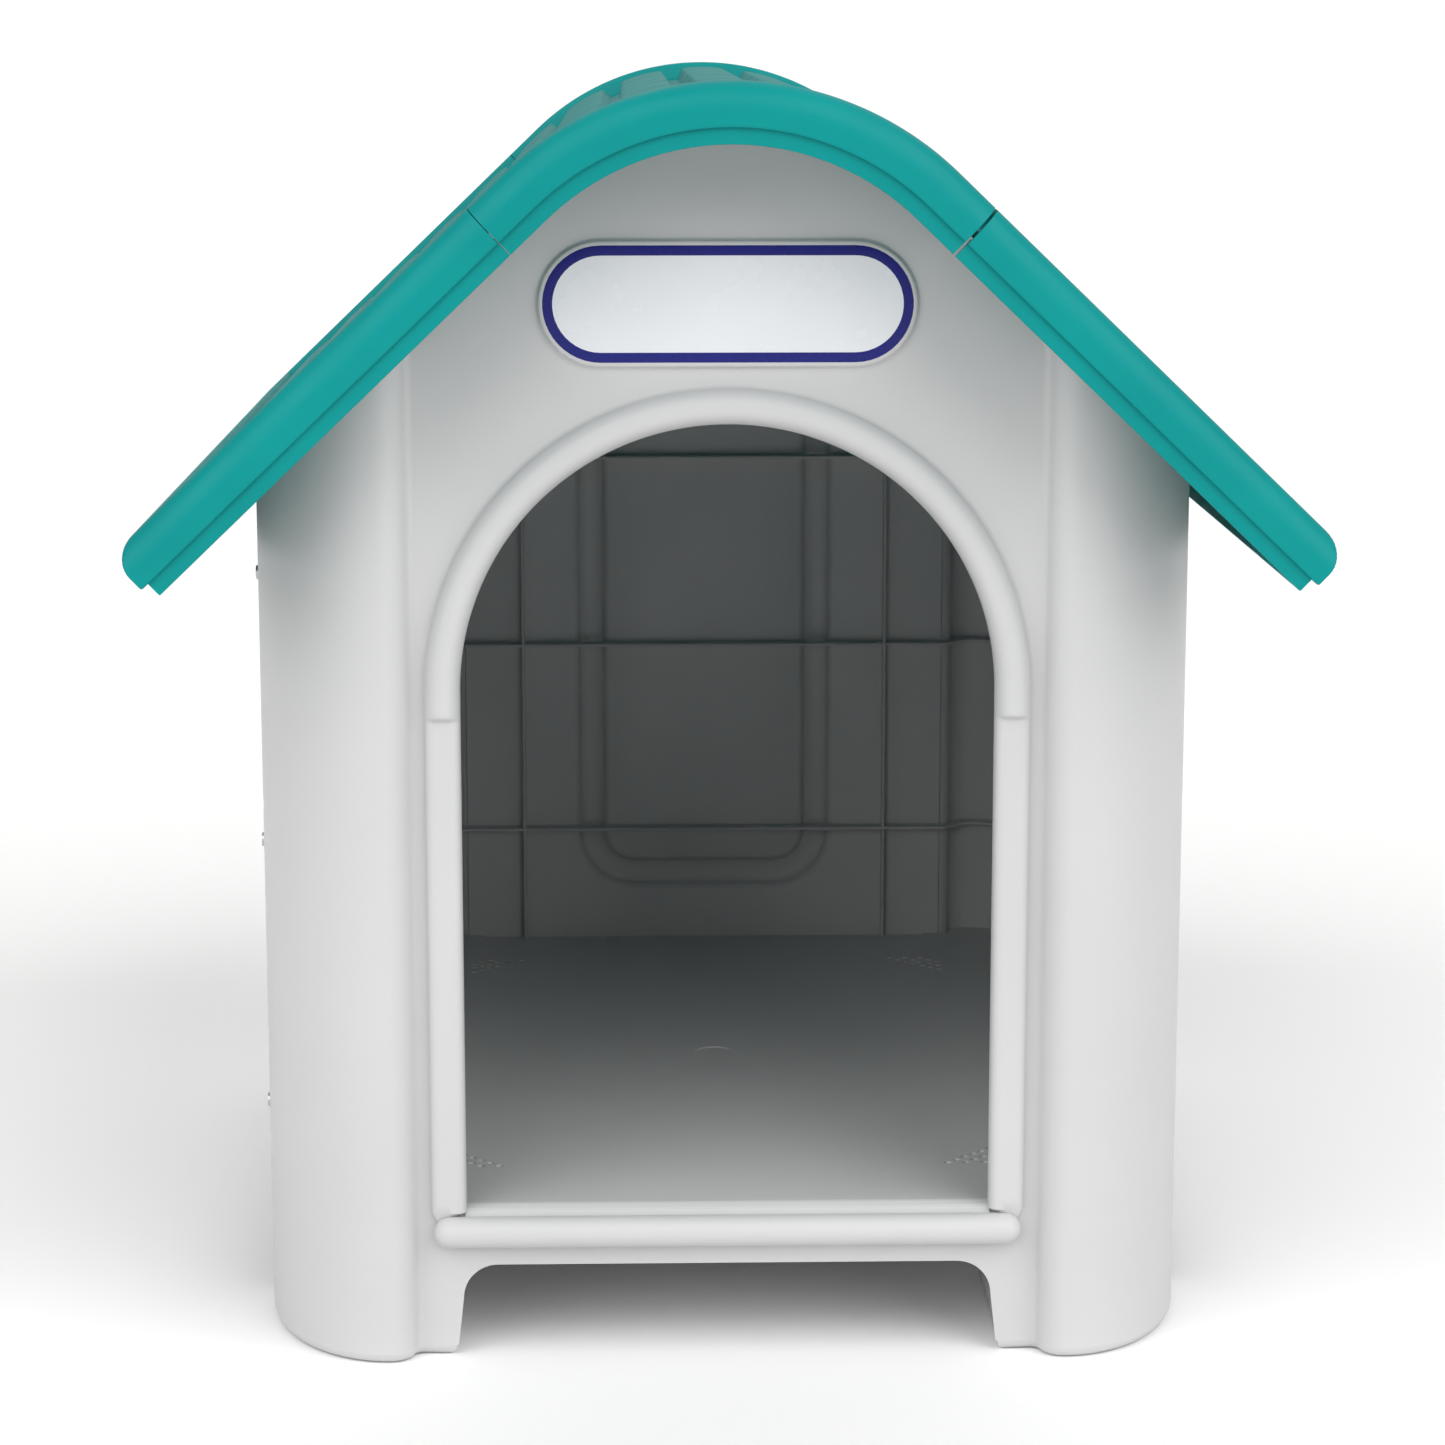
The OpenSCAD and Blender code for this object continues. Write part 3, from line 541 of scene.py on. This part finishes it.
def cornerAngle(centreZ):
    # direction from the arch's centre to the corner of the flat panel under the gable
    return math.atan2(gableTop(panelX, house["gableDepth"]) - centreZ, panelX)


def frontPanel():
    # rows follow the doorway: back edge, half-round arch or flatter jamb, small fillet, then the flat wall
    half, spring = door["half"], door["top"] - door["half"]
    jambZ = np.concatenate([[door["low"], 84, 100, 140, 180, 220, 260, 300, 325, 334],
                            door["jambTop"] + np.array([-3.0, -2, -1.4, -0.9, -0.4, 0.1, 0.7, 1.6, 3.0, 6])])
    angles = np.unique(np.concatenate([np.linspace(0, math.pi, 97),
                                       [cornerAngle(spring), math.pi - cornerAngle(spring)]]))
    left = np.stack([np.full(len(jambZ), -half), jambZ], -1)
    arch = np.stack([-half * np.cos(angles), spring + half * np.sin(angles)], -1)
    right = np.stack([np.full(len(jambZ), half), jambZ[::-1]], -1)
    bottomX = np.linspace(half, -half, 9)
    bottom = np.stack([bottomX, np.full(9, door["low"])], -1)
    fan = 1 / math.sqrt(2)
    start = np.concatenate([left, arch, right, right[-1:], bottom, left[:1]])
    way = np.concatenate([np.tile([-1.0, 0], (len(left), 1)), np.stack([-np.cos(angles), np.sin(angles)], -1),
                          np.tile([1.0, 0], (len(right), 1)), [[fan, -fan]],
                           np.tile([0, -1.0], (9, 1)), [[-fan, -fan]]])
    share = np.concatenate([np.ones(len(left) + len(arch) + len(right)), np.zeros(11)])
    edge = rayToEdge(start, way)
    drop = door["low"] - door["panelLow"]
    corners = np.array([len(left) + len(arch) + len(right), len(start) - 1])
    edge[corners] = math.hypot(panelX - half, door["low"] - door["panelLow"])
    way[corners] = np.array([[panelX - half, -drop], [half - panelX, -drop]]) / edge[corners][:, None]
    turn = np.radians([0, 12, 25, 40, 55, 70, 90, 110, 125, 140, 152, 163])
    across = door["moulding"] / 2
    d = np.concatenate([[0], across * (1 - np.cos(turn)),
                        [door["moulding"] - 0.1, door["moulding"] + 0.8, door["moulding"] + 2.2]])
    arc = np.concatenate([[0], np.sin(turn), [0.17, 0.05, 0.0]]) * door["archOut"]
    flat = np.concatenate([[0], (1 - np.abs(np.cos(turn)) ** 5) ** 0.45, [0.22, 0.06, 0.0]]) * door["jambOut"]
    rise = np.clip((start[:, 1] - door["jambTop"] + 1.6) / 3.2, 0, 1)
    rise = rise * rise * (3 - 2 * rise)
    relief = share[:, None] * (rise[:, None] * arc + (1 - rise[:, None]) * flat)
    d = np.minimum(d[None, :], edge[:, None] * 0.98)
    xz = start[:, None] + way[:, None] * d[..., None]
    y = -flatY - relief
    y[:, 0] += house["wall"]
    rim = start + way * edge[:, None]
    points = np.concatenate([np.stack([xz[..., 0], y, xz[..., 1]], -1),
                             np.stack([rim[:, 0], np.full(len(rim), -flatY), rim[:, 1]], -1)[:, None]], 1)
    patch = gridPatch(points, wrap=True)
    return facing(patch, (0, 200, 300))


plate = {"halfLength": 95.0, "halfHeight": 31.5, "z": 549.0, "out": 3.0, "labelMargin": 3.0, "ring": 5.0}


def stadiumLoop(count=24):
    # a straight middle line with half circles at both ends: anchors on the line and directions from it
    a = np.radians(np.linspace(-90, 90, count))
    reach = plate["halfLength"] - plate["halfHeight"]
    straight = np.linspace(reach, -reach, 14)[1:-1]
    anchor = np.concatenate([np.full(count, reach), straight, np.full(count, -reach), straight[::-1]])
    way = np.concatenate([np.stack([np.cos(a), np.sin(a)], -1), np.tile([0, 1.0], (12, 1)),
                          np.stack([-np.cos(a), -np.sin(a)], -1), np.tile([0, -1.0], (12, 1))])
    return anchor, way


def stadiumPatch(radii, outs):
    # rings round the middle line: radius from it and distance in front of the flat wall
    anchor, way = stadiumLoop()
    x = anchor[:, None] + way[:, :1] * radii
    z = plate["z"] + way[:, 1:] * radii
    y = np.broadcast_to(-flatY - np.asarray(outs, float), x.shape)
    return facing(gridPatch(np.stack([x, y, z], -1), wrap=True), (0, 200, plate["z"]))


def namePlate():
    r, out = plate["halfHeight"], plate["out"]
    turn = np.radians(np.linspace(0, 90, 6))
    radii = np.concatenate([[r + 1.4, r + 0.7, r + 0.1], r - 1.6 * (1 - np.cos(turn)),
                            [r - plate["labelMargin"], 14, 0]])
    outs = np.concatenate([[-0.1, 0.25, 1.1], out - 1.5 + 1.5 * np.sin(turn), [out, out, out]])
    return stadiumPatch(radii, outs)


bar = {"radius": 8.2, "half": 153.0, "y": -flatY - 4.4, "z": 68.2}


def sillBar():
    # a round bar turned about X, with elliptical ends
    end = bar["radius"] * 1.0
    a = np.radians(np.linspace(-90, 90, 19))
    x = np.concatenate([-bar["half"] + end + end * np.sin(a[:10]),
                        np.linspace(-bar["half"] + end, bar["half"] - end, 22)[1:-1],
                        bar["half"] - end + end * np.sin(a[9:])])
    r = bar["radius"] * np.concatenate([np.cos(a[:10]), np.ones(20), np.cos(a[9:])])
    turn = np.radians(np.linspace(0, 360, 41))[:-1]
    points = np.stack([np.broadcast_to(x, (40, len(x))), bar["y"] + np.sin(turn)[:, None] * r,
                       bar["z"] + np.cos(turn)[:, None] * r], -1)
    return facing(gridPatch(points, wrap=True), (0, bar["y"], bar["z"]))


def ribBetween(back, front, across, thick):
    # a thin rib from its line on the wall to its free edge, thick measured along across, with a rounded edge
    back, front, across = (np.asarray(v, float) for v in (back, front, across))
    reach = np.linalg.norm(front - back, axis=1).mean()
    r = thick / 2
    depth = np.array([-0.4, reach - 1.1 * r, reach - 0.3 * r, reach, reach - 0.3 * r,
                      reach - 1.1 * r, -0.4]) / reach
    side = np.array([-r, -r, -0.72 * r, 0, 0.72 * r, r, r])
    rings = back + (front - back) * depth[:, None, None] + across * side[:, None, None]
    return capped(rings, rings.mean((0, 1)))


def wallRibs(panel=True):
    # level ribs round the inside of a column, and on a closed wall across the panel with two upright ribs
    wall, high, thick = house["wall"], house["ribHeight"], house["ribThickness"]
    a = np.radians(np.linspace(180, 90, 7))
    r = house["columnStep"] - wall
    backShoulder = np.stack([crownX + r * np.cos(a), -flatY - r * np.sin(a)], -1)
    frontShoulder = np.array([columnX - 1, -flatY + wall + high]) + (
        np.linspace(0, 1, 7)[:, None] * np.array([14.0, -13.5]))
    a = np.radians(np.linspace(90, 4, 33))[1:]
    oval = [np.stack([crownX + (house["halfWidth"] - crownX - t) * np.cos(a),
                      -roundY - (house["columnDepth"] - t) * np.sin(a)], -1) for t in (wall, wall + high)]
    start = np.array([[columnX - 9, -flatY + wall]]), np.array([[columnX - 9, -flatY + wall + high]])
    back = np.concatenate([start[0], backShoulder, oval[0]])
    front = np.concatenate([start[1], frontShoulder, oval[1]])
    ribs = []
    for z in house["ribLevels"]:
        lines = [np.column_stack([line, np.full(len(line), z)]) for line in (back, front)]
        if panel:
            lines = [np.concatenate([line[::-1] * np.array([-1, 1, 1]), line]) for line in lines]
            ribs.append(ribBetween(*lines, [0, 0, 1.0], thick))
        else:
            ribs.append(ribBetween(*lines, [0, 0, 1.0], thick))
            ribs.append(mirrored(ribs[-1], 0))
    if panel:
        for x in (-120.0, 120.0):
            z = np.linspace(house["floorTop"], house["ribLevels"][-1], 12)
            lines = [np.column_stack([np.full(12, x), np.full(12, -flatY + wall + d), z]) for d in (0, high)]
            ribs.append(ribBetween(*lines, [1.0, 0, 0], thick))
    return ribs


def threshold():
    # closed profile carried along X: rounded top edge of the wall under the doorway, sloping to the sill bar
    y = np.array([-294.9, -295.3, -296.0, -296.9, -297.8, -299.6, -301.4, -302.6, -302.6, -297.0, -294.9])
    z = np.array([78.6, 79.3, 79.6, 79.3, 78.5, 77.1, 76.2, 75.9, 71.0, 69.0, 72.0])
    x = np.linspace(-door["half"] - 0.6, door["half"] + 0.6, 15)
    rings = np.stack([np.broadcast_to(x, (len(y), len(x))), np.broadcast_to(y[:, None], (len(y), len(x))),
                      np.broadcast_to(z[:, None], (len(y), len(x)))], -1)
    return capped(rings, (0, -298, 74))


column = columnShell()
foot = footShell()
corners = [column, mirrored(column, 0), foot, mirrored(foot, 0), apronShell()]
addPiece("frontWall", greyPlastic, "house", ["front_wall"], shells=corners + [frontPanel()],
         solids=[namePlate(), sillBar(), threshold()] + wallRibs(False), thickness=house["wall"], sharp=40)

mock = {"half": 85.5, "top": 510.0, "low": 112.0, "corner": 39.0, "band": 22.0, "out": 8.0}


def rearPanel():
    # rows follow the mock doorway: its middle, the inner edge of the moulding, the moulding, the flat wall
    half, spring, c = mock["half"], mock["top"] - mock["half"], mock["corner"]
    a = np.unique(np.concatenate([np.linspace(0, math.pi, 65),
                                  [cornerAngle(spring), math.pi - cornerAngle(spring)]]))
    arch = np.stack([-half * np.cos(a), spring + half * np.sin(a)], -1)
    archWay = np.stack([-np.cos(a), np.sin(a)], -1)
    z = np.linspace(spring, mock["low"] + c, 12)[1:-1]
    right = np.stack([np.full(10, half), z], -1)
    b = np.radians(np.unique(np.concatenate([
        np.linspace(0, 90, 13),
        [math.degrees(math.atan2(mock["low"] + c - door["panelLow"], panelX - half + c))]])))
    turnRight = np.stack([half - c + c * np.cos(b), mock["low"] + c - c * np.sin(b)], -1)
    turnWay = np.stack([np.cos(b), -np.sin(b)], -1)
    x = np.linspace(half - c, -half + c, 10)[1:-1]
    bottom = np.stack([x, np.full(8, mock["low"])], -1)
    flip = np.array([-1.0, 1.0])
    start = np.concatenate([arch, right, turnRight, bottom, turnRight[::-1] * flip, right[::-1] * flip])
    way = np.concatenate([archWay, np.tile([1.0, 0], (10, 1)), turnWay, np.tile([0, -1.0], (8, 1)),
                          turnWay[::-1] * flip, np.tile([-1.0, 0], (10, 1))])
    edge = rayToEdge(start, way)
    across = mock["band"] / 2
    turn = np.radians([10, 22, 34, 46, 60, 75, 90, 105, 120, 134, 146, 158, 170])
    d = np.concatenate([[-mock["band"] - 1.4, -mock["band"] - 0.5],
                        -across - across * np.cos(turn), [0.5, 1.4]])
    out = np.concatenate([[0, 0.3], np.sin(turn) ** 0.8 * mock["out"], [0.3, 0]])
    xz = start[:, None] + way[:, None] * d[None, :, None]
    middle = np.stack([0 * start[:, 0], np.clip(start[:, 1], 190, spring)], -1)
    inner = xz[:, :1] + (middle[:, None] - xz[:, :1]) * np.array([1.0, 0.5])[None, :, None]
    rim = (start + way * edge[:, None])[:, None]
    xz = np.concatenate([inner, xz, rim], 1)
    y = -flatY - np.concatenate([[0, 0], out, [0]])
    points = np.stack([xz[..., 0], np.broadcast_to(y, xz.shape[:2]), xz[..., 1]], -1)
    return facing(gridPatch(points, wrap=True), (0, 200, 300))


addPiece("rearWall", greyPlastic, "house", ["rear_wall"], shells=[turned(p) for p in corners + [rearPanel()]],
         solids=[turned(p) for p in wallRibs(True)], thickness=house["wall"], sharp=40)


labelRadius = plate["halfHeight"] - plate["labelMargin"] + 0.6
proud = plate["out"]
turn = np.radians(np.linspace(0, 90, 5))
ringSection = ([labelRadius - 0.1] + list(labelRadius - 0.25 * (1 - np.cos(turn)))
               + [labelRadius - plate["ring"]] * 2,
               [proud - 0.2] + list(proud + 0.25 * np.sin(turn)) + [proud + 0.25, proud + 0.05])
labelRing = stadiumPatch(np.array(ringSection[0]), np.array(ringSection[1]))
labelFace = stadiumPatch(np.array([labelRadius - plate["ring"] + 0.05, 12, 0]), [proud + 0.2] * 3)
addPiece("nameLabelRing", navyInk, "house", (), shells=[labelRing], thickness=0.15)
addPiece("nameLabelFace", whiteFilm, "house", ["name_label"], shells=[labelFace], thickness=0.15)


for node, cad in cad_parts.items():
    if node.startswith("screws"):
        material = zincPlate
    elif node.startswith("roof"):
        material = tealPlastic
    elif node == "name_label":
        material = whiteFilm
    else:
        material = greyPlastic
    cad.data.materials.clear()
    cad.data.materials.append(material)


def studio():
    ground = {"reach": 60.0, "drop": 0.0005}
    reach = ground["reach"]
    steps = np.linspace(-reach, reach, 13)
    x, y = np.meshgrid(steps, steps, indexing="ij")
    points = np.stack([x, y, np.full(x.shape, -ground["drop"])], -1) / mm
    patch = facing(gridPatch(points), (0, 0, -1000))
    mesh = meshFrom("studioFloor", [patch])
    paper = bpy.data.materials.new("palePaperFloor")
    paper.use_nodes = True
    tree = paper.node_tree
    shader = tree.nodes["Principled BSDF"]
    shader.inputs["Base Color"].default_value = hexToLinear("#fdfdfd")
    shader.inputs["Roughness"].default_value = 0.9
    mesh.materials.append(paper)
    floor = bpy.data.objects.new("studioFloor", mesh)
    bpy.context.scene.collection.objects.link(floor)

    # the room lights the object softly, and shows as white paper behind it
    air = {"fill": 0.32, "paper": 1.0}
    world = bpy.data.worlds.new("studioWorld")
    world.use_nodes = True
    tree = world.node_tree
    tree.nodes.clear()
    soft = addNode(tree, "ShaderNodeBackground", Color=hexToLinear("#fffefc"), Strength=air["fill"])
    paper = addNode(tree, "ShaderNodeBackground", Color=hexToLinear("#ffffff"), Strength=air["paper"])
    seen = addNode(tree, "ShaderNodeLightPath").outputs["Is Camera Ray"]
    both = addNode(tree, "ShaderNodeMixShader", links={0: seen, 1: soft.outputs[0], 2: paper.outputs[0]})
    addNode(tree, "ShaderNodeOutputWorld", links={"Surface": both.outputs[0]})
    bpy.context.scene.world = world

    # each lamp is a wide softbox far away: where it stands, its strength and its apparent width in degrees
    lamps = {
        "keyLeft": ((-2.0, -2.4, 2.3), 1.7, 60),
        "keyRight": ((2.2, -2.2, 2.2), 1.9, 60),
        "backTop": ((0.3, 2.4, 3.0), 0.45, 70),
    }
    for name, (place, power, width) in lamps.items():
        light = bpy.data.lights.new(name, "SUN")
        light.energy = power
        light.angle = math.radians(width)
        lamp = bpy.data.objects.new(name, light)
        lamp.location = place
        lamp.rotation_euler = (-Vector(place)).to_track_quat("-Z", "Y").to_euler()
        bpy.context.scene.collection.objects.link(lamp)

    view = {"place": (-0.05156, -2.1839, 0.6900), "pitch": 0.18524, "yaw": 0.02588, "lens": 93.93}
    camera = bpy.data.cameras.new("productCamera")
    camera.lens = view["lens"]
    camera.sensor_width = 36
    holder = bpy.data.objects.new("productCamera", camera)
    holder.location = view["place"]
    holder.rotation_euler = (math.pi / 2 - view["pitch"], 0, -view["yaw"])
    bpy.context.scene.collection.objects.link(holder)
    bpy.context.scene.camera = holder
    bpy.context.scene.view_settings.view_transform = "Standard"
    bpy.context.scene.view_settings.look = "None"


studio()
print("studio set")
